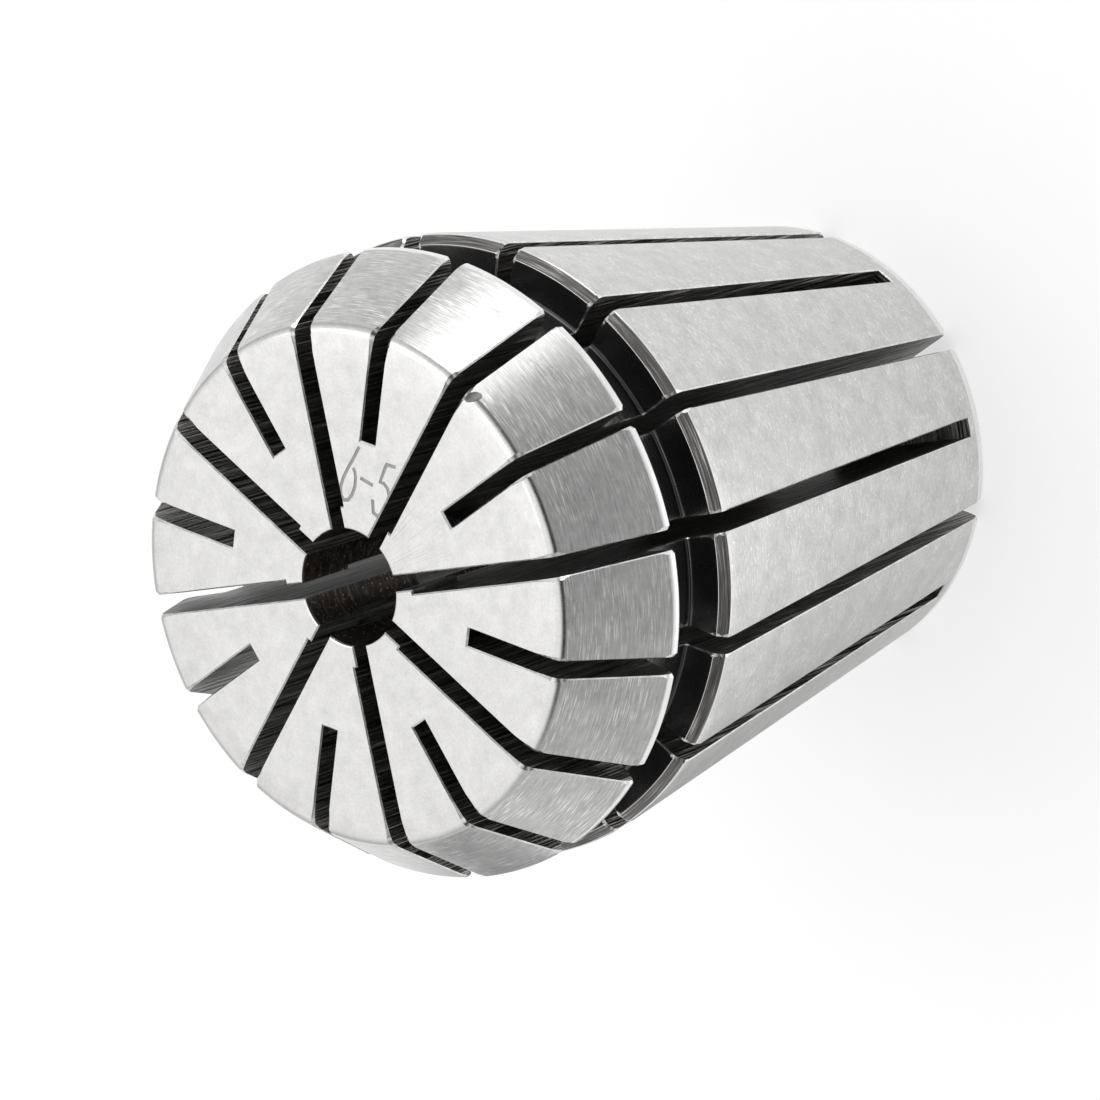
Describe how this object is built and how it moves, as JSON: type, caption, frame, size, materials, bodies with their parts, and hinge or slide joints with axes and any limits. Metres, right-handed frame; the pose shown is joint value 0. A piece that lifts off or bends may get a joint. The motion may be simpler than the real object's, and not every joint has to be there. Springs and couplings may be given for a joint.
{
  "type": "er collet",
  "caption": "Slotted spring steel collet with a long taper and a grooved conical nose, which grips a round tool shank in its bore",
  "frame": {"origin": "centre of the rear face, which is the narrow end of the taper, on the axis of the bore", "axes": "+Z along the bore from the rear face to the front face, -Y through a slot cut from the front, +X a quarter turn on from it"},
  "size_m": [0.0328, 0.0328, 0.04],
  "materials": {
    "steel": "ground and satin steel, with sawn slots, a turned groove and a reamed bore"
  },
  "bodies": {
    "root": {"collet": "steel"}
  },
  "joints": []
}
